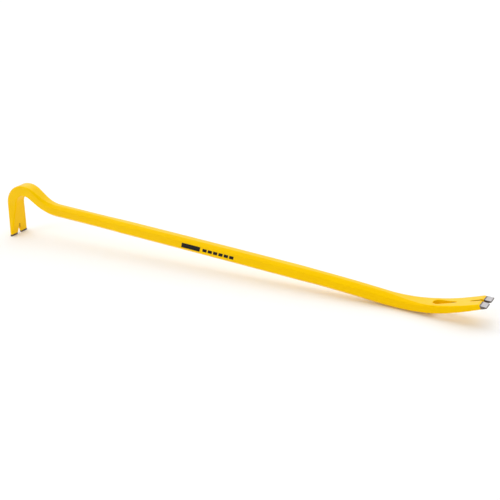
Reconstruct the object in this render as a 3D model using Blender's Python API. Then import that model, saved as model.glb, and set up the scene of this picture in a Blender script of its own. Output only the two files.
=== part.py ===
"""A forged gooseneck wrecking bar with an eight-sided shank, standing on its hook tines and its heel.

Metres, +Z up. X runs along the bar, with the hook at -X and the chisel at +X, and Y runs across it.
The bar is one tapered section swept along a spine of straight runs and arcs. The origin is at the
bottom centre of the bar's box.
"""

import math

import bmesh
import bpy

# Spine, from the hook's tine ends to the chisel's: the run of each stretch and how far it turns, in degrees.
LEG_RUN = 0.0618
ARCH_RADIUS, ARCH_TURN = 0.0332, -120.7
NECK_RUN = 0.0163
SWEEP_RADIUS, SWEEP_TURN = 0.0794, 32.3
SHANK_RUN, SHANK_TURN = 0.4960, -0.65
DIP_RUN, DIP_TURN = 0.1433, -2.7
HEEL_RUN, HEEL_TURN = 0.1197, 24.0
BLADE_RUN, BLADE_TURN = 0.0433, 3.9
START_HEADING = -ARCH_TURN - SWEEP_TURN

# Section: depth lies in the plane of the bend, width across it.
SHANK_DEPTH, SHANK_WIDTH = 0.0222, 0.0206
LEG_DEPTH, LEG_WIDTH = 0.0214, 0.0234
ARCH_DEPTH = 0.0196
HOOK_EDGE, HOOK_WIDTH = 0.0038, 0.0415
BLADE_DEPTH, BLADE_WIDTH = 0.0131, 0.0287
CHISEL_DEPTH, CHISEL_WIDTH = 0.0076, 0.0360
CHAMFER_ACROSS, CHAMFER_UP, LEAST_CHAMFER = 0.0048, 0.0040, 0.04
LEG_CORNER, SOFT_CORNER, CRISP_CORNER, FLAT_CORNER = 0.0022, 0.0026, 0.0012, 0.0017
CRISP_START, CRISP_END, CRISP_FADE = 0.1080, 0.5400, 0.0500
MOST_ROUND = 0.35
NECK_TAPER, NECK_TAPER_END = 0.1030, 0.0130
BLADE_TAPER, BLADE_WIDENING = 0.0820, 0.0050
BEVEL_RUN, BEVEL_EDGE = 0.0120, 0.0022

# Claw notches and the nail slot: distances back from the tine ends.
HOOK_NOTCH_LENGTH, HOOK_NOTCH_MOUTH = 0.0215, 0.0100
CHISEL_NOTCH_LENGTH, CHISEL_NOTCH_MOUTH = 0.0283, 0.0070
NOTCH_ROOT_RADIUS = 0.0009
SLOT_ROUND_END, SLOT_POINT, SLOT_RADIUS = 0.0848, 0.0485, 0.0072
SLOT_POINT_RADIUS = 0.0010
MOUTH_OVERRUN = 0.0100
CUT_THROUGH = 0.0600

# Powder coat, which stops short of the ground tine ends.
COAT, COAT_GAP = 0.0003, 0.0002
HOOK_BARE, CHISEL_BARE = 0.0035, 0.0092

# Printed badge and bars on the shank's -Y side, by distance along the shank.
PRINT_THICKNESS, PRINT_GAP = 0.0003, 0.0002
PRINT_LEAN = 0.0020
BADGE_START, BADGE_LENGTH, BADGE_HEIGHT = 0.2784, 0.0370, 0.0086
BAR_START, BAR_LENGTH, BAR_PITCH, BAR_HEIGHT, BAR_COUNT = 0.3204, 0.0082, 0.0104, 0.0056, 6

YELLOW = (0.93, 0.58, 0.005)
STEEL = (0.50, 0.49, 0.47)
INK = (0.018, 0.018, 0.020)

STRETCHES = (
    (LEG_RUN, 0.0),
    (ARCH_RADIUS * math.radians(-ARCH_TURN), ARCH_TURN),
    (NECK_RUN, 0.0),
    (SWEEP_RADIUS * math.radians(SWEEP_TURN), SWEEP_TURN),
    (SHANK_RUN, SHANK_TURN),
    (DIP_RUN, DIP_TURN),
    (HEEL_RUN, HEEL_TURN),
    (BLADE_RUN, BLADE_TURN),
)
STEPS_PER_STRETCH = (7, 14, 3, 7, 10, 5, 16, 7)
FADE_STEPS, LEAST_STEP = 4, 0.0008
SMALL_ROUND_STEPS, LARGE_ROUND_STEPS = 4, 10
SHARP_ANGLE, WELD = math.radians(35), 1e-6
ENDS = [sum(run for run, _ in STRETCHES[:count]) for count in range(len(STRETCHES) + 1)]
_, ARCH_START, ARCH_END, _, SHANK_START, _, HEEL_START, _, TOTAL = ENDS

# Knots of the section along the spine: distance, value, and whether the rise to it is eased.
DEPTHS = (
    (0.0, HOOK_EDGE, False),
    (ARCH_START, LEG_DEPTH, False),
    ((ARCH_START + ARCH_END) / 2, ARCH_DEPTH, True),
    (SHANK_START, SHANK_DEPTH, True),
    (HEEL_START, SHANK_DEPTH, False),
    (HEEL_START + BLADE_TAPER, BLADE_DEPTH, True),
    (TOTAL, CHISEL_DEPTH, False),
)
WIDTHS = (
    (0.0, HOOK_WIDTH, False),
    (ARCH_START, LEG_WIDTH, False),
    (SHANK_START + NECK_TAPER_END - NECK_TAPER, LEG_WIDTH, False),
    (SHANK_START + NECK_TAPER_END, SHANK_WIDTH, True),
    (HEEL_START + BLADE_WIDENING, SHANK_WIDTH, False),
    (HEEL_START + BLADE_WIDENING + BLADE_TAPER, BLADE_WIDTH, True),
    (TOTAL, CHISEL_WIDTH, False),
)
CORNERS = (
    (0.0, FLAT_CORNER, False),
    (ARCH_END, LEG_CORNER, False),
    (SHANK_START + CRISP_START, SOFT_CORNER, True),
    (SHANK_START + CRISP_START + CRISP_FADE, CRISP_CORNER, True),
    (SHANK_START + CRISP_END - CRISP_FADE, CRISP_CORNER, False),
    (SHANK_START + CRISP_END, SOFT_CORNER, True),
    (HEEL_START, SOFT_CORNER, False),
    (HEEL_START + BLADE_TAPER, FLAT_CORNER, True),
    (TOTAL, FLAT_CORNER, False),
)
CHAMFERS = (
    (SHANK_START + NECK_TAPER_END - NECK_TAPER, LEAST_CHAMFER, False),
    (SHANK_START + NECK_TAPER_END, 1.0, True),
    (HEEL_START + BLADE_WIDENING, 1.0, False),
    (HEEL_START + BLADE_WIDENING + BLADE_TAPER, LEAST_CHAMFER, True),
)


def eased(t):
    t = min(max(t, 0.0), 1.0)
    return t * t * (3 - 2 * t)


def along(knots, s):
    for (low, before, _), (high, after, ease) in zip(knots, knots[1:]):
        if s <= high:
            t = max(s - low, 0.0) / (high - low)
            return before + (after - before) * (eased(t) if ease else t)
    return knots[-1][1]


def spine(s):
    """(x, z, heading) of the spine at a distance from the hook's tine ends, before the bar is stood up."""
    x, z, heading = 0.0, 0.0, math.radians(START_HEADING)
    for run, turn in STRETCHES:
        part = min(s, run)
        bend = math.radians(turn) * part / run
        chord = part if bend == 0 else part * math.sin(bend / 2) / (bend / 2)
        x += chord * math.cos(heading + bend / 2)
        z += chord * math.sin(heading + bend / 2)
        heading += bend
        s -= part
        if s <= 0:
            break
    return x, z, heading


def section(s, inset):
    """The section's outline as (across, up) points, once round, shrunk by inset on every side: a rectangle
    whose corners are chamfered along the shank, and rounded by no more than MOST_ROUND of the depth."""
    depth = along(DEPTHS, s)
    drop = max(0.0, (s - TOTAL + BEVEL_RUN) / BEVEL_RUN) * (CHISEL_DEPTH - BEVEL_EDGE)
    low = -depth / 2 + inset
    high = depth / 2 - drop - inset
    half = along(WIDTHS, s) / 2 - inset
    radius = min(along(CORNERS, s) - inset, MOST_ROUND * (high - low))
    middle, tall = (high + low) / 2, (high - low) / 2
    cut = along(CHAMFERS, s)
    top_end = half - radius - cut * CHAMFER_ACROSS
    side_end = tall - radius - cut * CHAMFER_UP
    face_angle = math.atan2(CHAMFER_ACROSS, CHAMFER_UP)
    quarter = []
    for angle in (math.pi / 2, (math.pi / 2 + face_angle) / 2, face_angle):
        quarter.append((top_end + radius * math.cos(angle), tall - radius + radius * math.sin(angle)))
    for angle in (face_angle, face_angle / 2, 0.0):
        quarter.append((half - radius + radius * math.cos(angle), side_end + radius * math.sin(angle)))
    side = [(across, middle + up) for across, up in quarter]
    side += [(across, middle - up) for across, up in reversed(quarter)]
    return side + [(-across, up) for across, up in reversed(side)]


def stations(start, end):
    """Distances for the loft's rings, from start to end, with more of them where the shape changes."""
    found = {start, end, TOTAL - BEVEL_RUN}
    for (run, _), steps, first in zip(STRETCHES, STEPS_PER_STRETCH, ENDS):
        found |= {first + run * step / steps for step in range(steps + 1)}
    for fade in (CRISP_START, CRISP_END - CRISP_FADE):
        found |= {SHANK_START + fade + CRISP_FADE * step / FADE_STEPS for step in range(FADE_STEPS + 1)}
    inside = sorted(s for s in found if start <= s <= end)
    apart = [s for s, after in zip(inside, inside[1:]) if after - s > LEAST_STEP]
    return apart + [end]


def standing():
    """The tilt that sets the hook's tine ends and the heel on one level, and the shift to the origin."""
    foot = under(0.0)
    tilt = min(math.atan2(z - foot[1], x - foot[0]) for x, z in map(under, stations(HEEL_START, TOTAL)))
    edges = []
    for s in stations(0.0, TOTAL):
        x, z, heading = spine(s)
        for _, up in section(s, 0.0):
            point = x - up * math.sin(heading), z + up * math.cos(heading)
            edges.append(point[0] * math.cos(tilt) + point[1] * math.sin(tilt))
    level = foot[1] * math.cos(tilt) - foot[0] * math.sin(tilt)
    return tilt, -(min(edges) + max(edges)) / 2, -level


def under(s):
    x, z, heading = spine(s)
    up = min(up for _, up in section(s, 0.0))
    return x - up * math.sin(heading), z + up * math.cos(heading)


TILT, SHIFT_X, SHIFT_Z = standing()


def placed(s, across, up):
    """A point of the bar in the object's frame: up is measured from the spine, in the plane of the bend."""
    x, z, heading = spine(s)
    x, z = x - up * math.sin(heading), z + up * math.cos(heading)
    return (
        x * math.cos(TILT) + z * math.sin(TILT) + SHIFT_X,
        across,
        z * math.cos(TILT) - x * math.sin(TILT) + SHIFT_Z,
    )


def material(name, colour, roughness, metallic=0.0):
    made = bpy.data.materials.new(name)
    made.use_nodes = True
    shader = made.node_tree.nodes["Principled BSDF"]
    shader.inputs["Base Color"].default_value = (*colour, 1.0)
    shader.inputs["Roughness"].default_value = roughness
    shader.inputs["Metallic"].default_value = metallic
    return made


def loft(name, start, end, inset, collection):
    """One closed body through the bar's sections from start to end."""
    shape = bmesh.new()
    rings = []
    for s in stations(start, end):
        rings.append([shape.verts.new(placed(s, *point)) for point in section(s, inset)])
    for ring, after in zip(rings, rings[1:]):
        for index in range(len(ring)):
            following = (index + 1) % len(ring)
            shape.faces.new((ring[index], ring[following], after[following], after[index]))
    shape.faces.new(reversed(rings[0]))
    shape.faces.new(rings[-1])
    bmesh.ops.recalc_face_normals(shape, faces=shape.faces)
    mesh = bpy.data.meshes.new(name)
    shape.to_mesh(mesh)
    shape.free()
    mesh.shade_smooth()
    mesh.set_sharp_from_angle(angle=SHARP_ANGLE)
    made = bpy.data.objects.new(name, mesh)
    collection.objects.link(made)
    return made


def rounded_wedge(length, mouth, root):
    """A V outline from its mouth at 0 back to a round root at length, on +X, with the mouth run on past 0."""
    lean = math.atan2(mouth / 2 - root, length - root)
    points = []
    for step in range(SMALL_ROUND_STEPS + 1):
        angle = (math.pi / 2 - lean) * (1 - 2 * step / SMALL_ROUND_STEPS)
        points.append((length - root + root * math.cos(angle), root * math.sin(angle)))
    spread = points[0][1] + (points[0][0] + MOUTH_OVERRUN) * math.tan(lean)
    return [(-MOUTH_OVERRUN, spread), *points, (-MOUTH_OVERRUN, -spread)]


def teardrop(round_end, point, radius, point_radius):
    """A round end of one radius and a far smaller round at the point, joined by their tangents."""
    far, near = round_end - radius, point + point_radius
    lean = math.asin((radius - point_radius) / (far - near))
    points = []
    for step in range(LARGE_ROUND_STEPS + 1):
        angle = (math.pi / 2 + lean) * (1 - 2 * step / LARGE_ROUND_STEPS)
        points.append((far + radius * math.cos(angle), radius * math.sin(angle)))
    for step in range(SMALL_ROUND_STEPS + 1):
        angle = -(math.pi / 2 + lean) - (math.pi - 2 * lean) * step / SMALL_ROUND_STEPS
        points.append((near + point_radius * math.cos(angle), point_radius * math.sin(angle)))
    return points


def plate(name, outline, thickness, frame, collection):
    """An outline, on its own X and Y, extruded to thickness about its plane, as a mesh in the given frame."""
    curve = bpy.data.curves.new(name, "CURVE")
    curve.dimensions = "2D"
    curve.fill_mode = "BOTH"
    curve.extrude = thickness / 2
    spline = curve.splines.new("POLY")
    spline.points.add(len(outline) - 1)
    for point, (x, y) in zip(spline.points, outline):
        point.co = (x, y, 0.0, 1.0)
    spline.use_cyclic_u = True
    drawn = bpy.data.objects.new(name + "_outline", curve)
    collection.objects.link(drawn)
    bpy.context.view_layer.update()
    mesh = bpy.data.meshes.new_from_object(drawn.evaluated_get(bpy.context.evaluated_depsgraph_get()))
    bpy.data.objects.remove(drawn)
    welded = bmesh.new()
    welded.from_mesh(mesh)
    bmesh.ops.remove_doubles(welded, verts=welded.verts, dist=WELD)
    bmesh.ops.recalc_face_normals(welded, faces=welded.faces)
    welded.to_mesh(mesh)
    welded.free()
    made = bpy.data.objects.new(name, mesh)
    made.location = frame[0]
    made.rotation_euler = frame[1]
    collection.objects.link(made)
    return made


def as_cutter(made):
    made.hide_render = True
    made.display_type = "WIRE"
    return made


def notch_cutters(name, grow, cutters):
    """The two claw notches and the nail slot, each larger by grow on every side."""
    root = NOTCH_ROOT_RADIUS + grow
    hook = rounded_wedge(HOOK_NOTCH_LENGTH + grow, HOOK_NOTCH_MOUTH + 2 * grow, root)
    chisel = rounded_wedge(CHISEL_NOTCH_LENGTH + grow, CHISEL_NOTCH_MOUTH + 2 * grow, root)
    slot = teardrop(SLOT_ROUND_END + grow, SLOT_POINT - grow, SLOT_RADIUS + grow, SLOT_POINT_RADIUS + grow)
    made = []
    for label, outline, end, inward, middle in (
        ("hook_notch", hook, 0.0, 1, 0.0),
        ("chisel_notch", chisel, TOTAL, -1, BEVEL_RUN),
        ("nail_slot", slot, TOTAL, -1, (SLOT_ROUND_END + SLOT_POINT) / 2),
    ):
        s = end + inward * middle
        frame = placed(s, 0.0, 0.0), (0.0, TILT - spine(s)[2], 0.0)
        turned = [(inward * (back - middle), inward * across) for back, across in outline]
        made.append(as_cutter(plate(f"{name}_{label}", turned, CUT_THROUGH, frame, cutters)))
    return made


def notched_bar(name, start, end, inset, collection, cutters):
    """The bar between two stations, shrunk by inset, with its notches and slot cut through."""
    made = loft(name, start, end, inset, collection)
    for cutter in notch_cutters(name, inset, cutters):
        cut(made, cutter)
    return made


def cut(made, cutter):
    modifier = made.modifiers.new(cutter.name, "BOOLEAN")
    modifier.operation = "DIFFERENCE"
    modifier.object = cutter


def forged_bar(parts, cutters):
    made = notched_bar("forged_bar", 0.0, TOTAL, COAT + COAT_GAP, parts, cutters)
    made.data.materials.append(material("bare_steel", STEEL, 0.35, 1.0))


def powder_coat(parts, cutters):
    made = notched_bar("powder_coat", HOOK_BARE, TOTAL - CHISEL_BARE, 0.0, parts, cutters)
    inner = notched_bar("coat_inside", 0.0, TOTAL, COAT, cutters, cutters)
    cut(made, as_cutter(inner))
    made.data.materials.append(material("yellow_powder_coat", YELLOW, 0.38))


def printed_shape(name, start, length, height, ink, parts):
    """A slanted plate on the shank's side, as thin as the mesh allows, standing for a film of ink."""
    s = SHANK_START + start + length / 2
    lean = PRINT_LEAN * height / BADGE_HEIGHT / 2
    half, up = length / 2, height / 2
    outline = [(-half - lean, -up), (half - lean, -up), (half + lean, up), (-half + lean, up)]
    across = -(SHANK_WIDTH / 2 + PRINT_GAP + PRINT_THICKNESS / 2)
    heading = spine(s)[2] - TILT
    frame = placed(s, across, 0.0), (math.pi / 2, -heading, 0.0)
    made = plate(name, outline, PRINT_THICKNESS, frame, parts)
    made.data.materials.append(ink)


def printed_mark(parts):
    ink = material("black_ink", INK, 0.45)
    printed_shape("printed_badge", BADGE_START, BADGE_LENGTH, BADGE_HEIGHT, ink, parts)
    for index in range(BAR_COUNT):
        name = f"printed_bar_{index + 1}"
        printed_shape(name, BAR_START + index * BAR_PITCH, BAR_LENGTH, BAR_HEIGHT, ink, parts)


def main():
    for existing in list(bpy.data.objects):
        bpy.data.objects.remove(existing)
    parts = bpy.data.collections.new("wrecking_bar")
    cutters = bpy.data.collections.new("cutters")
    for collection in (parts, cutters):
        bpy.context.scene.collection.children.link(collection)
    forged_bar(parts, cutters)
    powder_coat(parts, cutters)
    printed_mark(parts)


main()
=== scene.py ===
"""Looks of the gooseneck wrecking bar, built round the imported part.

Metres, +Z up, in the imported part's frame. The bar is one section swept along a spine of straight runs
and arcs, as in the part. Here it is lofted finely, as a steel core under a thin coat of powder paint,
with rounded rims on its notches and slot, ground tine ends and a printed mark on the shank.
"""

import math

import bmesh
import bpy
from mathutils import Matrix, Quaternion, Vector, noise

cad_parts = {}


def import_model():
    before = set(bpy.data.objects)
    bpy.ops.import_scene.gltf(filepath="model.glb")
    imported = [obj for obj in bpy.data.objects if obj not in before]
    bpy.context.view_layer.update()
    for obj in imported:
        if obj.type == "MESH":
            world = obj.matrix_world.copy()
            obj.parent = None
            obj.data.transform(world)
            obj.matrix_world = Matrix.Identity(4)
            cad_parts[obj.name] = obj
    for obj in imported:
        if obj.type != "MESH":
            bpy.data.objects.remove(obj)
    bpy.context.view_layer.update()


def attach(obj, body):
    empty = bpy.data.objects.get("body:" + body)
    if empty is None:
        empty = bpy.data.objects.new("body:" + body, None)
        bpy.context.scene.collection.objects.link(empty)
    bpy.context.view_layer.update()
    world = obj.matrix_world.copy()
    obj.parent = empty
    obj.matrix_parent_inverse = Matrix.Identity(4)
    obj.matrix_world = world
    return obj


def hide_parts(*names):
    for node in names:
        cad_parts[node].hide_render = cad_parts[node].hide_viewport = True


# Spine, from the hook's tine ends to the chisel's: the run of each stretch and how far it turns, in degrees.
LEG_RUN = 0.0618
ARCH_RADIUS, ARCH_TURN = 0.0332, -120.7
NECK_RUN = 0.0163
SWEEP_RADIUS, SWEEP_TURN = 0.0794, 32.3
SHANK_RUN, SHANK_TURN = 0.4960, -0.65
DIP_RUN, DIP_TURN = 0.1433, -2.7
HEEL_RUN, HEEL_TURN = 0.1197, 24.0
BLADE_RUN, BLADE_TURN = 0.0433, 3.9
START_HEADING = -ARCH_TURN - SWEEP_TURN

# Section: depth lies in the plane of the bend, width across it.
SHANK_DEPTH, SHANK_WIDTH = 0.0222, 0.0206
LEG_DEPTH, LEG_WIDTH = 0.0214, 0.0234
ARCH_DEPTH = 0.0196
HOOK_EDGE, HOOK_WIDTH = 0.0038, 0.0415
BLADE_DEPTH, BLADE_WIDTH = 0.0131, 0.0287
CHISEL_DEPTH, CHISEL_WIDTH = 0.0076, 0.0360
CHAMFER_ACROSS, CHAMFER_UP, LEAST_CHAMFER = 0.0048, 0.0040, 0.04
LEG_CORNER, SOFT_CORNER, CRISP_CORNER, FLAT_CORNER = 0.0022, 0.0026, 0.0012, 0.0017
CRISP_START, CRISP_END, CRISP_FADE = 0.1080, 0.5400, 0.0500
NECK_TAPER, NECK_TAPER_END = 0.1030, 0.0130
BLADE_TAPER, BLADE_WIDENING = 0.0820, 0.0050
BEVEL_RUN, BEVEL_EDGE = 0.0120, 0.0022
MOST_ROUND = 0.35
CORNER_STEPS, FACE_SHARES = 5, (0.25, 0.5, 0.75)

# Claw notches and the nail slot: distances back from the tine ends. Their rims are rounded.
HOOK_NOTCH_LENGTH, HOOK_NOTCH_MOUTH = 0.0215, 0.0100
CHISEL_NOTCH_LENGTH, CHISEL_NOTCH_MOUTH = 0.0283, 0.0070
NOTCH_ROOT_RADIUS = 0.0009
SLOT_ROUND_END, SLOT_POINT, SLOT_RADIUS = 0.0848, 0.0485, 0.0072
SLOT_POINT_RADIUS = 0.0010
MOUTH_OVERRUN = 0.0100
NOTCH_RIM, SLOT_RIM = 0.0006, 0.0009
RIM_ANGLES = (78, 60, 42, 24, 8)
RIM_LEAD, CUTTER_LEAD = 0.0002, 0.0030
ROOT_STEPS, SIDE_STEPS, SLOT_ROUND_STEPS, SLOT_POINT_STEPS = 12, 16, 32, 8
SIDE_PIECE = 0.0025

# Paint, and the bare ground steel at the tines, whose ground corners are sharper than the forged ones.
PAINT, CORE_GAP = 0.00012, 1.2
HOOK_BARE, CHISEL_BARE = 0.0035, 0.0092
GROUND_CORNER, GROUND_BLEND = 0.0004, 0.0030
GRIND_RAGGED, GRIND_RINGS = 0.0005, 0.0030
RAGGED_GRAIN, RAGGED_APART = 300, 50
# Width of a painted shadow on the chisel's steel past the paint's edge.
EDGE_SHADOW_BAND = 0.0022

# Fine mesh: steps along the bar, the forging's unevenness and how it dies out at the ends, the points that
# settle how the bar stands, and the angles, in degrees, that are shaded sharp. The forging's noise needs its
# seed, because Blender otherwise starts it from the clock.
BEND_STEP, SHANK_STEP, LEAST_STEP = 0.0018, 0.0040, 0.0004
SHANK_STEP_START, SHANK_STEP_END = 0.03, 0.02
FORGING, FORGING_GRAIN, NOISE_SEED = 0.00007, 28.0, 11
EVEN_HOOK, EVEN_CHISEL, EVEN_FADE = 0.02, 0.03, 0.05
HEEL_POINTS, LEG_POINTS = 400, 20
STEEL_SHARP, FILM_SHARP = 32, 40

# Printed mark on the shank's -Y side, by distance along the shank.
INK, INK_LEAN, INK_GAP = 0.00004, 0.0020, 0.00001
INK_CORNER, INK_CORNER_STEPS, INK_COLUMN = 0.1, 5, 0.002
BADGE_START, BADGE_LENGTH, BADGE_HEIGHT = 0.2784, 0.0370, 0.0086
BAR_START, BAR_LENGTH, BAR_PITCH, BAR_HEIGHT, BAR_COUNT = 0.3204, 0.0082, 0.0104, 0.0056, 6

# Camera: where it stands, the point that it looks at, its roll in degrees and its lens in millimetres.
CAMERA_PLACE = Vector((0.7789, -1.1307, 0.6091))
CAMERA_AIM = Vector((0.0658, 0.0, 0.0499))
CAMERA_ROLL = 3.599
CAMERA_LENS, CAMERA_SENSOR = 64.89, 36.0

# Studio: the brightness of the surround and of the white backdrop, then each light's name, azimuth,
# elevation and width in degrees, and strength.
SURROUND, BACKDROP = 0.30, 1.0
LIGHTS = (
    ("key", -62, 50, 80, 0.60),
    ("fill", 62, 22, 50, 0.52),
    ("ridge", -32, 22, 14, 0.42),
    ("back", -160, 52, 100, 1.80),
    ("top", 0, 88, 90, 0.30),
)

FLOOR_SIZE = 8.0

# Colours. A pair is the two ends of a blend.
PAINT_SHADES = (0.975, 0.575, 0.0), (0.985, 0.605, 0.0)
# The deep brown here is painted shade, laid into the notches and the slot.
PAINT_SPECKLE, PAINT_RECESS_SHADE, PAINT_GLOSS = (0.84, 0.46, 0.0), (0.30, 0.15, 0.0), (1.0, 0.75, 0.06)
STEEL_SHADES = (0.40, 0.385, 0.395), (0.62, 0.60, 0.615)
STEEL_DULL = (0.34, 0.31, 0.31)
# The dark steel shades are painted shade, for the tines' faces that don't face up and the paint's edge.
STEEL_SHADOW_SHADES = (0.10, 0.085, 0.075), (0.20, 0.17, 0.15)
INK_SHADES = (0.006, 0.005, 0.004), (0.016, 0.013, 0.010)
FLOOR_SHADES = (0.95, 0.95, 0.95), (0.97, 0.97, 0.97)
WHITE = (1.0, 1.0, 1.0, 1.0)

STRETCHES = (
    (LEG_RUN, 0.0),
    (ARCH_RADIUS * math.radians(-ARCH_TURN), ARCH_TURN),
    (NECK_RUN, 0.0),
    (SWEEP_RADIUS * math.radians(SWEEP_TURN), SWEEP_TURN),
    (SHANK_RUN, SHANK_TURN),
    (DIP_RUN, DIP_TURN),
    (HEEL_RUN, HEEL_TURN),
    (BLADE_RUN, BLADE_TURN),
)
ENDS = [sum(run for run, _ in STRETCHES[:count]) for count in range(len(STRETCHES) + 1)]
_, ARCH_START, ARCH_END, _, SHANK_START, _, HEEL_START, _, TOTAL = ENDS

# Knots of the section along the spine: distance, value, and whether the rise to it is eased.
DEPTHS = (
    (0.0, HOOK_EDGE, False),
    (ARCH_START, LEG_DEPTH, False),
    ((ARCH_START + ARCH_END) / 2, ARCH_DEPTH, True),
    (SHANK_START, SHANK_DEPTH, True),
    (HEEL_START, SHANK_DEPTH, False),
    (HEEL_START + BLADE_TAPER, BLADE_DEPTH, True),
    (TOTAL, CHISEL_DEPTH, False),
)
WIDTHS = (
    (0.0, HOOK_WIDTH, False),
    (ARCH_START, LEG_WIDTH, False),
    (SHANK_START + NECK_TAPER_END - NECK_TAPER, LEG_WIDTH, False),
    (SHANK_START + NECK_TAPER_END, SHANK_WIDTH, True),
    (HEEL_START + BLADE_WIDENING, SHANK_WIDTH, False),
    (HEEL_START + BLADE_WIDENING + BLADE_TAPER, BLADE_WIDTH, True),
    (TOTAL, CHISEL_WIDTH, False),
)
CORNERS = (
    (0.0, FLAT_CORNER, False),
    (ARCH_END, LEG_CORNER, False),
    (SHANK_START + CRISP_START, SOFT_CORNER, True),
    (SHANK_START + CRISP_START + CRISP_FADE, CRISP_CORNER, True),
    (SHANK_START + CRISP_END - CRISP_FADE, CRISP_CORNER, False),
    (SHANK_START + CRISP_END, SOFT_CORNER, True),
    (HEEL_START, SOFT_CORNER, False),
    (HEEL_START + BLADE_TAPER, FLAT_CORNER, True),
    (TOTAL, FLAT_CORNER, False),
)
CHAMFERS = (
    (SHANK_START + NECK_TAPER_END - NECK_TAPER, LEAST_CHAMFER, False),
    (SHANK_START + NECK_TAPER_END, 1.0, True),
    (HEEL_START + BLADE_WIDENING, 1.0, False),
    (HEEL_START + BLADE_WIDENING + BLADE_TAPER, LEAST_CHAMFER, True),
)


def eased(t):
    t = min(max(t, 0.0), 1.0)
    return t * t * (3 - 2 * t)


def along(knots, s):
    for (low, before, _), (high, after, ease) in zip(knots, knots[1:]):
        if s <= high:
            t = max(s - low, 0.0) / (high - low)
            return before + (after - before) * (eased(t) if ease else t)
    return knots[-1][1]


def spine(s):
    """(x, z, heading) of the spine at a distance from the hook's tine ends, before the bar is stood up."""
    x, z, heading = 0.0, 0.0, math.radians(START_HEADING)
    for run, turn in STRETCHES:
        part = min(s, run)
        bend = math.radians(turn) * part / run
        chord = part if bend == 0 else part * math.sin(bend / 2) / (bend / 2)
        x += chord * math.cos(heading + bend / 2)
        z += chord * math.sin(heading + bend / 2)
        heading += bend
        s -= part
        if s <= 0:
            break
    return x, z, heading


def heights(s):
    """The section's lowest and highest point, measured from the spine. The bevel takes the top down."""
    half = along(DEPTHS, s) / 2
    drop = max(0.0, (s - TOTAL + BEVEL_RUN) / BEVEL_RUN) * (CHISEL_DEPTH - BEVEL_EDGE)
    return -half, half - drop


def standing():
    """The tilt that sets the hook's tine ends and the heel on one level, and the shift to the origin."""
    foot = edge_point(0.0, 0)
    heel = [HEEL_START + (TOTAL - HEEL_START) * step / HEEL_POINTS for step in range(HEEL_POINTS + 1)]
    tilt = min(math.atan2(z - foot[1], x - foot[0]) for x, z in (edge_point(s, 0) for s in heel))
    ends = [edge_point(s, side) for s in (0.0, TOTAL) for side in (0, 1)]
    ends += [edge_point(LEG_RUN * step / LEG_POINTS, 1) for step in range(LEG_POINTS + 1)]
    reach = [x * math.cos(tilt) + z * math.sin(tilt) for x, z in ends]
    level = foot[1] * math.cos(tilt) - foot[0] * math.sin(tilt)
    return tilt, -(min(reach) + max(reach)) / 2, -level


def edge_point(s, side):
    """The spine-plane point under the spine (side 0) or over it (side 1)."""
    x, z, heading = spine(s)
    up = heights(s)[side]
    return x - up * math.sin(heading), z + up * math.cos(heading)


TILT, SHIFT_X, SHIFT_Z = standing()


def placed(s, across, up):
    """A point of the bar in the part's frame: up is measured from the spine, in the plane of the bend."""
    x, z, heading = spine(s)
    x, z = x - up * math.sin(heading), z + up * math.cos(heading)
    return Vector(
        (
            x * math.cos(TILT) + z * math.sin(TILT) + SHIFT_X,
            across,
            z * math.cos(TILT) - x * math.sin(TILT) + SHIFT_Z,
        )
    )


def forged(s, across, up):
    """placed(), with the slight unevenness of a hammered bar, which dies out at the feet and tine ends."""
    point = placed(s, across, up)
    hold = eased((s - EVEN_HOOK) / EVEN_FADE) * eased((TOTAL - EVEN_CHISEL - s) / EVEN_FADE)
    drift = noise.noise_vector(point * FORGING_GRAIN) * FORGING * hold
    return point + drift


def section(s, inset, corner):
    """The section's outline as (across, up) points, once round, shrunk by inset on every side: a rectangle
    whose corners are chamfered along the shank and rounded."""
    low, high = heights(s)
    low, high = low + inset, high - inset
    half = along(WIDTHS, s) / 2 - inset
    radius = min(corner - inset, MOST_ROUND * (high - low))
    middle, tall = (high + low) / 2, (high - low) / 2
    cut = along(CHAMFERS, s)
    top_end = half - radius - cut * CHAMFER_ACROSS
    side_end = tall - radius - cut * CHAMFER_UP
    face_angle = math.atan2(CHAMFER_ACROSS, CHAMFER_UP)
    quarter = [(top_end * share, tall) for share in FACE_SHARES]
    for step in range(CORNER_STEPS + 1):
        angle = math.pi / 2 + (face_angle - math.pi / 2) * step / CORNER_STEPS
        quarter.append((top_end + radius * math.cos(angle), tall - radius + radius * math.sin(angle)))
    for step in range(CORNER_STEPS + 1):
        angle = face_angle * (1 - step / CORNER_STEPS)
        quarter.append((half - radius + radius * math.cos(angle), side_end + radius * math.sin(angle)))
    quarter += [(half, side_end * share) for share in reversed(FACE_SHARES)]
    upper = [(across, middle + up) for across, up in quarter]
    lower = [(across, middle - up) for across, up in reversed(quarter)]
    side = upper + [(half, middle)] + lower
    return [(0.0, high)] + side + [(0.0, low)] + [(-across, up) for across, up in reversed(side)]


def stations(start, end):
    """Distances for the loft's rings, closer together in the bends and at the ends than along the shank."""
    found = [start]
    while found[-1] < end:
        s = found[-1]
        straight = SHANK_START + SHANK_STEP_START < s < HEEL_START - SHANK_STEP_END
        found.append(s + (SHANK_STEP if straight else BEND_STEP))
    found = found[:-1]
    if TOTAL - BEVEL_RUN < end:
        found.append(TOTAL - BEVEL_RUN)
    return sorted(s for s in found if s < end - LEAST_STEP) + [end]


def ragged(s, across, ends):
    """How far a ring's point is moved along the bar, so that the paint ends in an uneven ground line."""
    shift = 0.0
    for end in ends:
        near = 1 - min(abs(s - end) / GRIND_RINGS, 1.0)
        shift += near * GRIND_RAGGED * noise.noise((across * RAGGED_GRAIN, end * RAGGED_APART, 0.0))
    return shift


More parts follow.
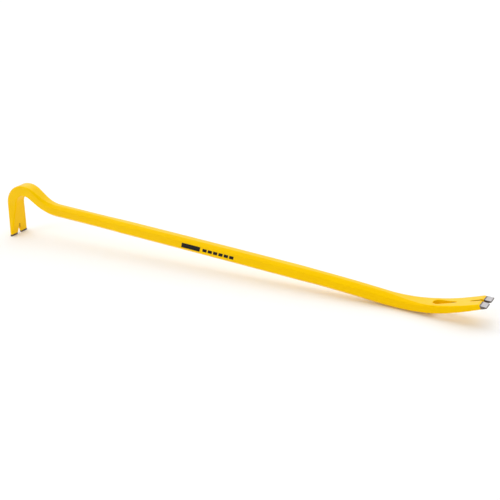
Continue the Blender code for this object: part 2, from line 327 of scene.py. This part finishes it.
def loft(name, start, end, inset, corner=lambda s: along(CORNERS, s), uneven_ends=()):
    """One closed body through the bar's sections from start to end."""
    shape = bmesh.new()
    rings = []
    for s in stations(start, end):
        ring = []
        for across, up in section(s, inset, corner(s)):
            at = s + ragged(s, across, uneven_ends)
            ring.append(shape.verts.new(forged(at, across, up)))
        rings.append(ring)
    for ring, after in zip(rings, rings[1:]):
        for index in range(len(ring)):
            following = (index + 1) % len(ring)
            shape.faces.new((ring[index], ring[following], after[following], after[index]))
    caps = [shape.faces.new(reversed(rings[0])), shape.faces.new(rings[-1])]
    for cap in caps:
        cap.material_index = 1
    bmesh.ops.recalc_face_normals(shape, faces=shape.faces)
    return as_object(name, shape)


def as_object(name, shape):
    mesh = bpy.data.meshes.new(name)
    shape.to_mesh(mesh)
    shape.free()
    made = bpy.data.objects.new(name, mesh)
    bpy.context.scene.collection.objects.link(made)
    return made


def rounded_wedge(length, mouth, root):
    """A V outline from its mouth at 0 back to a round root at length, with the mouth run on past 0.
    Each point is (back, across, normal back, normal across)."""
    lean = math.atan2(mouth / 2 - root, length - root)
    points = []
    for step in range(ROOT_STEPS + 1):
        angle = (math.pi / 2 - lean) * (1 - 2 * step / ROOT_STEPS)
        normal = (math.cos(angle), math.sin(angle))
        points.append((length - root + root * normal[0], root * normal[1], *normal))
    back, half, *normal = points[0]
    sides = []
    for step in range(SIDE_STEPS):
        at = -MOUTH_OVERRUN + (back + MOUTH_OVERRUN) * step / SIDE_STEPS
        sides.append((at, half + (back - at) * math.tan(lean), *normal))
    mirrored = [(at, -across, up, -out) for at, across, up, out in reversed(sides)]
    return sides + points + mirrored


def teardrop(round_end, point, radius, point_radius):
    """A round end of one radius and a far smaller round at the point, joined by their tangents.
    Each point is (back, across, normal back, normal across)."""
    far, near = round_end - radius, point + point_radius
    lean = math.asin((radius - point_radius) / (far - near))
    points = []
    for step in range(SLOT_ROUND_STEPS + 1):
        angle = (math.pi / 2 + lean) * (1 - 2 * step / SLOT_ROUND_STEPS)
        normal = (math.cos(angle), math.sin(angle))
        points.append((far + radius * normal[0], radius * normal[1], *normal))
    for step in range(SLOT_POINT_STEPS + 1):
        angle = -(math.pi / 2 + lean) - (math.pi - 2 * lean) * step / SLOT_POINT_STEPS
        normal = (math.cos(angle), math.sin(angle))
        points.append((near + point_radius * normal[0], point_radius * normal[1], *normal))
    return with_sides(points)


def with_sides(points):
    """A closed outline with its long straight sides split, so that they follow the bend of the blade."""
    split = []
    for before, after in zip(points, points[1:] + points[:1]):
        split.append(before)
        pieces = int(math.dist(before[:2], after[:2]) / SIDE_PIECE)
        for step in range(1, pieces + 1):
            t = step / (pieces + 1)
            split.append(tuple(a + (b - a) * t for a, b in zip(before, after)))
    return split


def rim_levels(rim):
    """(offset, depth under the surface) down a rounded rim, from outside the metal to the straight wall."""
    steep = math.radians(RIM_ANGLES[0])
    start = rim * (1 - math.cos(steep)), rim * (1 - math.sin(steep))
    outside = start[0] + (start[1] + RIM_LEAD) / math.tan(math.pi / 2 - steep)
    levels = [(outside, -CUTTER_LEAD), (outside, -RIM_LEAD)]
    for angle in map(math.radians, RIM_ANGLES):
        levels.append((rim * (1 - math.cos(angle)), rim * (1 - math.sin(angle))))
    return levels + [(0.0, rim)]


def through_cutter(name, outline, end, inward, rim, grow):
    """A body that cuts an outline through the bar and rounds its rims. Outline points are distances back
    from the end, and every column of the body follows the bar's top and bottom where it stands."""
    shape = bmesh.new()
    levels = rim_levels(rim)
    columns = []
    for back, across, normal_back, normal_across in outline:
        column = []
        for side in (1, 0):
            for offset, depth in levels if side else reversed(levels):
                out = offset + grow
                s = end + inward * (back + normal_back * out)
                height = heights(min(max(s, 0.0), TOTAL - BEVEL_RUN))[side]
                up = height - depth if side else height + depth
                column.append(shape.verts.new(beyond(s, across + normal_across * out, up)))
        columns.append(column)
    for column, after in zip(columns, columns[1:] + columns[:1]):
        for index in range(len(column) - 1):
            shape.faces.new((column[index], column[index + 1], after[index + 1], after[index]))
    shape.faces.new([column[0] for column in columns])
    shape.faces.new([column[-1] for column in reversed(columns)])
    bmesh.ops.triangulate(shape, faces=[face for face in shape.faces if len(face.verts) > 4])
    bmesh.ops.recalc_face_normals(shape, faces=shape.faces)
    return as_object(name, shape)


def beyond(s, across, up):
    """placed(), carried straight on past either end of the spine."""
    inside = min(max(s, 0.0), TOTAL)
    heading = spine(inside)[2] - TILT
    past = s - inside
    return placed(inside, across, up) + past * Vector((math.cos(heading), 0.0, math.sin(heading)))


def cut_openings(made, grow):
    """Cuts the two claw notches and the nail slot, each larger by grow on every side."""
    root = NOTCH_ROOT_RADIUS
    hook = rounded_wedge(HOOK_NOTCH_LENGTH, HOOK_NOTCH_MOUTH, root)
    chisel = rounded_wedge(CHISEL_NOTCH_LENGTH, CHISEL_NOTCH_MOUTH, root)
    slot = teardrop(SLOT_ROUND_END, SLOT_POINT, SLOT_RADIUS, SLOT_POINT_RADIUS)
    for outline, end, inward, rim in (
        (hook, 0.0, 1, NOTCH_RIM),
        (chisel, TOTAL, -1, NOTCH_RIM),
        (slot, TOTAL, -1, SLOT_RIM),
    ):
        cutter = through_cutter("cutter", outline, end, inward, rim, grow)
        modifier = made.modifiers.new("opening", "BOOLEAN")
        modifier.operation = "DIFFERENCE"
        modifier.solver = "EXACT"
        modifier.object = cutter
        apply_modifiers(made)
        bpy.data.objects.remove(cutter)


def apply_modifiers(made):
    """Replaces an object's mesh by what its modifiers make of it."""
    graph = bpy.context.evaluated_depsgraph_get()
    mesh = bpy.data.meshes.new_from_object(made.evaluated_get(graph))
    made.modifiers.clear()
    made.data = mesh


def smooth(made, angle):
    made.data.shade_smooth()
    made.data.set_sharp_from_angle(angle=math.radians(angle))


def ground_corner(s):
    """The corner radius of the steel, which is forged under the paint and sharp where it is ground."""
    near = min(s - HOOK_BARE, TOTAL - CHISEL_BARE - s)
    return GROUND_CORNER + (along(CORNERS, s) - GROUND_CORNER) * eased(near / GROUND_BLEND + 1)


def forged_steel():
    inset = PAINT * CORE_GAP
    made = loft("forged_steel", 0.0, TOTAL, inset, ground_corner)
    cut_openings(made, inset)
    for face in made.data.polygons:
        face.material_index = 0
    smooth(made, STEEL_SHARP)
    return made


def yellow_coat():
    ends = (HOOK_BARE, TOTAL - CHISEL_BARE)
    made = loft("yellow_coat", *ends, 0.0, uneven_ends=ends)
    cut_openings(made, 0.0)
    shape = bmesh.new()
    shape.from_mesh(made.data)
    caps = [face for face in shape.faces if face.material_index == 1]
    bmesh.ops.delete(shape, geom=caps, context="FACES")
    shape.to_mesh(made.data)
    shape.free()
    skin = made.modifiers.new("paint", "SOLIDIFY")
    skin.thickness = PAINT
    skin.offset = -1.0
    apply_modifiers(made)
    for face in made.data.polygons:
        face.material_index = 0
    smooth(made, FILM_SHARP)
    return made


def new_material(name):
    """A material with its node tree's adder and linker, and its Principled shader."""
    made = bpy.data.materials.new(name)
    made.use_nodes = True
    nodes, links = made.node_tree.nodes, made.node_tree.links
    return made, nodes, links, nodes["Principled BSDF"]


def add(nodes, kind, **settings):
    """A new node. A setting named after an input, with underscores for spaces, sets that input, and any
    other sets an attribute."""
    node = nodes.new("ShaderNode" + kind)
    for name, value in settings.items():
        label = name.replace("_", " ")
        if label in node.inputs:
            node.inputs[label].default_value = value
        else:
            setattr(node, name, value)
    return node


def stretched_noise(nodes, links, place, stretch, **settings):
    """Noise over a place, scaled by stretch along each axis."""
    mapping = add(nodes, "Mapping")
    mapping.inputs["Scale"].default_value = stretch
    links.new(place, mapping.inputs["Vector"])
    texture = add(nodes, "TexNoise", **settings)
    links.new(mapping.outputs["Vector"], texture.inputs["Vector"])
    return texture.outputs["Fac"]


def ranged(nodes, links, value, low, high, from_low=0.3, from_high=0.7):
    """A value from one range mapped to another."""
    mapped = add(nodes, "MapRange", From_Min=from_low, From_Max=from_high, To_Min=low, To_Max=high)
    links.new(value, mapped.inputs["Value"])
    return mapped.outputs["Result"]


def blend_colours(nodes, links, factor, first, second):
    mixed = add(nodes, "Mix", data_type="RGBA")
    links.new(factor, mixed.inputs["Factor"])
    colour_inputs = [socket for socket in mixed.inputs if socket.type == "RGBA"]
    for socket, colour in zip(colour_inputs, (first, second)):
        if isinstance(colour, tuple):
            socket.default_value = (*colour, 1.0)
        else:
            links.new(colour, socket)
    return next(socket for socket in mixed.outputs if socket.type == "RGBA")


def bumped(nodes, links, height, distance, strength=1.0, under=None):
    bump = add(nodes, "Bump", Distance=distance, Strength=strength)
    links.new(height, bump.inputs["Height"])
    if under:
        links.new(under, bump.inputs["Normal"])
    return bump.outputs["Normal"]


def powder_paint():
    """Semi-gloss yellow powder paint: fine orange peel, a faint random drift of tone, a few flatter patches,
    and a painted shade of dark brown down in the notches and the slot, where ambient occlusion finds them
    closed in."""
    made, nodes, links, shader = new_material("yellow_powder_coat")
    place = add(nodes, "TexCoord").outputs["Object"]
    drift = stretched_noise(nodes, links, place, (1, 1, 1), Scale=14.0, Detail=3.0)
    speckle = stretched_noise(nodes, links, place, (1, 1, 1), Scale=420.0, Detail=2.0)
    shade = blend_colours(nodes, links, ranged(nodes, links, drift, 0.0, 1.0), *PAINT_SHADES)
    shade = blend_colours(nodes, links, ranged(nodes, links, speckle, 0.0, 0.06), shade, PAINT_SPECKLE)
    # Painted shade: the paint is darkened to a deep brown in the notches and the slot, as far as ambient
    # occlusion finds them closed in.
    openness = add(nodes, "AmbientOcclusion", samples=12, only_local=True, Distance=0.008).outputs["AO"]
    thin = ranged(nodes, links, openness, 1.0, 0.0, 0.30, 0.80)
    shade = blend_colours(nodes, links, thin, shade, PAINT_RECESS_SHADE)
    links.new(shade, shader.inputs["Base Color"])
    links.new(ranged(nodes, links, drift, 0.36, 0.28), shader.inputs["Roughness"])
    peel = stretched_noise(nodes, links, place, (1, 1, 1), Scale=650.0, Detail=1.5, Roughness=0.4)
    swell = stretched_noise(nodes, links, place, (1, 1, 1), Scale=90.0, Detail=2.0)
    normal = bumped(nodes, links, swell, 0.0004)
    normal = bumped(nodes, links, peel, 0.00006, under=normal)
    links.new(normal, shader.inputs["Normal"])
    shader.inputs["Specular IOR Level"].default_value = 0.22
    shader.inputs["Specular Tint"].default_value = (*PAINT_GLOSS, 1.0)
    return made


def past_chisel_paint(nodes, links, place):
    """Mask of a painted shadow: 0 at the paint's edge on the chisel and 1 a little further out along its
    tines.
    """
    s = TOTAL - CHISEL_BARE
    heading = spine(s)[2] - TILT
    out = Vector((math.cos(heading), 0.0, math.sin(heading)))
    along_tine = add(nodes, "VectorMath", operation="DOT_PRODUCT")
    links.new(place, along_tine.inputs[0])
    along_tine.inputs[1].default_value = out
    start = placed(s, 0.0, 0.0).dot(out) + EDGE_SHADOW_BAND / 2
    return ranged(nodes, links, along_tine.outputs["Value"], 0.0, 1.0, start, start + EDGE_SHADOW_BAND / 2)


def ground_steel():
    """Bare steel at the tines: the upper faces off the belt grinder, with lines along the tines and duller
    patches between them, and painted shade, dark on the other faces and along the paint's edge."""
    made, nodes, links, shader = new_material("ground_steel")
    place = add(nodes, "TexCoord").outputs["Object"]
    lines = stretched_noise(nodes, links, place, (90, 1800, 500), Scale=1.0, Detail=4.0, Roughness=0.6)
    patches = stretched_noise(nodes, links, place, (1, 1, 1), Scale=160.0, Detail=3.0)
    shade = blend_colours(nodes, links, ranged(nodes, links, lines, 0.0, 1.0), *STEEL_SHADES)
    shade = blend_colours(nodes, links, ranged(nodes, links, patches, 0.0, 0.35), shade, STEEL_DULL)
    # Painted shade: the steel goes dark where its faces don't face up.
    facing = add(nodes, "SeparateXYZ")
    links.new(add(nodes, "TexCoord").outputs["Normal"], facing.inputs[0])
    upper = ranged(nodes, links, facing.outputs["Z"], 0.0, 1.0, 0.35, 0.60)
    shaded_steel = blend_colours(nodes, links, patches, *STEEL_SHADOW_SHADES)
    shade = blend_colours(nodes, links, upper, shaded_steel, shade)
    # Painted shadow: a dark band on the chisel's steel along the paint's edge.
    edge = past_chisel_paint(nodes, links, place)
    shade = blend_colours(nodes, links, edge, shaded_steel, shade)
    links.new(shade, shader.inputs["Base Color"])
    shader.inputs["Metallic"].default_value = 1.0
    links.new(ranged(nodes, links, lines, 0.26, 0.46), shader.inputs["Roughness"])
    links.new(bumped(nodes, links, lines, 0.00003, 0.7), shader.inputs["Normal"])
    return made


def printing_ink():
    """Black printing ink: an even film with slight mottle that lets a trace of the paint's peel through."""
    made, nodes, links, shader = new_material("black_ink")
    place = add(nodes, "TexCoord").outputs["Object"]
    mottle = stretched_noise(nodes, links, place, (1, 1, 1), Scale=900.0, Detail=3.0)
    shade = blend_colours(nodes, links, ranged(nodes, links, mottle, 0.0, 1.0), *INK_SHADES)
    links.new(shade, shader.inputs["Base Color"])
    links.new(ranged(nodes, links, mottle, 0.34, 0.50), shader.inputs["Roughness"])
    links.new(bumped(nodes, links, mottle, 0.00001), shader.inputs["Normal"])
    shader.inputs["Specular IOR Level"].default_value = 0.15
    return made


def rounded_shape(length, height, lean, corner):
    """A slanted rectangle's outline with rounded corners, about its middle."""
    half, up = length / 2, height / 2
    middles = [(half - corner, up - corner), (corner - half, up - corner)]
    middles += [(corner - half, corner - up), (half - corner, corner - up)]
    points = []
    for quarter, (x, z) in enumerate(middles):
        for step in range(INK_CORNER_STEPS + 1):
            angle = math.radians(90 * quarter + 90 * step / INK_CORNER_STEPS)
            high = z + corner * math.sin(angle)
            points.append((x + corner * math.cos(angle) + lean * high / height, high))
    return points


def printed_shape(name, start, length, height):
    """A film of ink on the shank's side, following its surface."""
    s = SHANK_START + start + length / 2
    outline = rounded_shape(length, height, INK_LEAN * height / BADGE_HEIGHT, INK_CORNER * height)
    columns = round(length / INK_COLUMN)
    shape = bmesh.new()
    face = shape.faces.new([shape.verts.new((x, 0.0, z)) for x, z in outline])
    bmesh.ops.triangulate(shape, faces=[face])
    for column in range(1, columns):
        cut = length * (column / columns - 0.5)
        everything = shape.verts[:] + shape.edges[:] + shape.faces[:]
        bmesh.ops.bisect_plane(shape, geom=everything, plane_co=(cut, 0, 0), plane_no=(1, 0, 0))
    for vertex in shape.verts:
        x, _, z = vertex.co
        vertex.co = forged(s + x, -SHANK_WIDTH / 2, z) + Vector((0.0, -INK_GAP, 0.0))
    bmesh.ops.recalc_face_normals(shape, faces=shape.faces)
    made = as_object(name, shape)
    if made.data.polygons[0].normal.y > 0:
        made.data.flip_normals()
    film = made.modifiers.new("film", "SOLIDIFY")
    film.thickness = INK
    film.offset = 1.0
    apply_modifiers(made)
    smooth(made, FILM_SHARP)
    return made


def printed_mark():
    """(node, piece) for the badge and each bar."""
    made = [("printed_badge", printed_shape("ink_badge", BADGE_START, BADGE_LENGTH, BADGE_HEIGHT))]
    for index in range(BAR_COUNT):
        start = BAR_START + index * BAR_PITCH
        piece = printed_shape(f"ink_bar_{index + 1}", start, BAR_LENGTH, BAR_HEIGHT)
        made.append((f"printed_bar_{index + 1}", piece))
    return made


def studio_floor():
    """A pale sweep under the bar, wide enough to fill the view behind it."""
    shape = bmesh.new()
    bmesh.ops.create_grid(shape, x_segments=2, y_segments=2, size=FLOOR_SIZE)
    floor = as_object("floor", shape)
    made, nodes, links, shader = new_material("pale_floor")
    place = add(nodes, "TexCoord").outputs["Object"]
    drift = stretched_noise(nodes, links, place, (1, 1, 1), Scale=3.0, Detail=4.0)
    shade = blend_colours(nodes, links, drift, *FLOOR_SHADES)
    links.new(shade, shader.inputs["Base Color"])
    shader.inputs["Roughness"].default_value = 0.75
    shader.inputs["Specular IOR Level"].default_value = 0.2
    floor.data.materials.append(made)


def studio_world():
    """An even pale surround, with a white backdrop beyond the floor."""
    world = bpy.data.worlds.new("studio")
    world.use_nodes = True
    nodes, links = world.node_tree.nodes, world.node_tree.links
    surround = nodes["Background"]
    surround.inputs["Color"].default_value = WHITE
    surround.inputs["Strength"].default_value = SURROUND
    backdrop = add(nodes, "Background", Color=WHITE, Strength=BACKDROP)
    seen = add(nodes, "MixShader")
    links.new(add(nodes, "LightPath").outputs["Is Camera Ray"], seen.inputs[0])
    links.new(surround.outputs[0], seen.inputs[1])
    links.new(backdrop.outputs[0], seen.inputs[2])
    links.new(seen.outputs[0], nodes["World Output"].inputs["Surface"])
    bpy.context.scene.world = world


def soft_light(name, azimuth, elevation, width, strength):
    """A far-off panel of a width, at an azimuth, turning from -Y towards +X, and an elevation, in degrees.
    """
    light = bpy.data.lights.new(name, "SUN")
    light.angle = math.radians(width)
    light.energy = strength
    lamp = bpy.data.objects.new(name, light)
    around, up = math.radians(azimuth), math.radians(elevation)
    toward = Vector((math.sin(around) * math.cos(up), -math.cos(around) * math.cos(up), math.sin(up)))
    lamp.rotation_mode = "QUATERNION"
    lamp.rotation_quaternion = toward.to_track_quat("Z", "Y")
    bpy.context.scene.collection.objects.link(lamp)


def camera():
    lens = bpy.data.cameras.new("camera")
    lens.lens = CAMERA_LENS
    lens.sensor_width = CAMERA_SENSOR
    made = bpy.data.objects.new("camera", lens)
    look = (CAMERA_AIM - CAMERA_PLACE).to_track_quat("-Z", "Y")
    made.location = CAMERA_PLACE
    made.rotation_mode = "QUATERNION"
    made.rotation_quaternion = look @ Quaternion((0.0, 0.0, 1.0), math.radians(-CAMERA_ROLL))
    bpy.context.scene.collection.objects.link(made)
    bpy.context.scene.camera = made


def main():
    noise.seed_set(NOISE_SEED)
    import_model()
    bpy.context.scene.view_settings.view_transform = "Standard"
    camera()
    studio_world()
    studio_floor()
    for light in LIGHTS:
        soft_light(*light)

    steel, paint, ink = ground_steel(), powder_paint(), printing_ink()
    pieces = [
        (forged_steel(), "forged_bar", "bare_steel", steel),
        (yellow_coat(), "powder_coat", "yellow_powder_coat", paint),
    ]
    pieces += [(piece, node, "black_ink", ink) for node, piece in printed_mark()]
    for piece, node, slot, material in pieces:
        piece.data.materials.clear()
        piece.data.materials.append(material)
        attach(piece, "root")
        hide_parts(node)


main()
